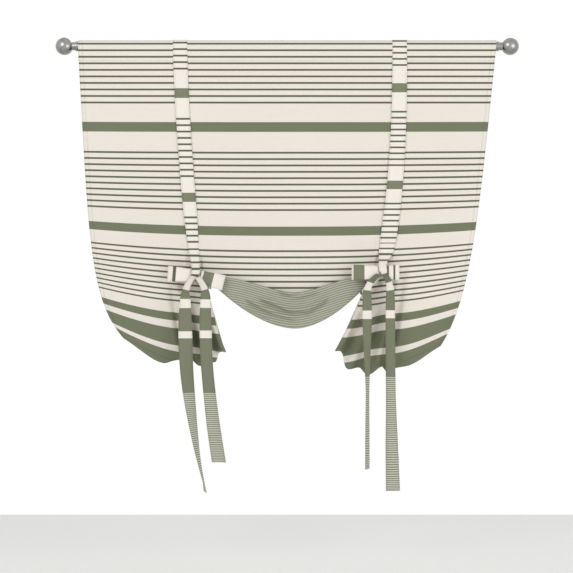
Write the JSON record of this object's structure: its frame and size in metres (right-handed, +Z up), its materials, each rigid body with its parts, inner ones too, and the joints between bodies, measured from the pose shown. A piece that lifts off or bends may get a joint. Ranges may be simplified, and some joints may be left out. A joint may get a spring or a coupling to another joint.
{
  "type": "tie-up curtain",
  "caption": "Striped cloth curtain with a rod pocket, hung on a tube with ball finials and drawn up by straps tied in bows.",
  "frame": {"origin": "on the rod's axis, at mid-length", "axes": "+X along the rod to the viewer's right, +Y away from the viewer towards the window, +Z up"},
  "size_m": [1.2922, 0.1154, 1.2619],
  "materials": {
    "rod_metal": "satin",
    "finial_metal": "satin",
    "panel_cloth": "woven, striped",
    "strap_cloth": "woven, striped"
  },
  "bodies": {
    "curtain": {"rod_tube": "rod_metal", "curtain_panel": "panel_cloth", "left_front_strap": "strap_cloth", "right_front_strap": "strap_cloth", "left_back_strap": "strap_cloth", "right_back_strap": "strap_cloth"},
    "left_end": {"left_finial": "finial_metal"},
    "right_end": {"right_finial": "finial_metal"}
  },
  "joints": [
    {"name": "left_finial_pull", "type": "slide", "parent": "curtain", "child": "left_end", "axis": [-1, 0, 0], "range_m": [0, 0.045]},
    {"name": "right_finial_pull", "type": "slide", "parent": "curtain", "child": "right_end", "axis": [1, 0, 0], "range_m": [0, 0.045]}
  ]
}
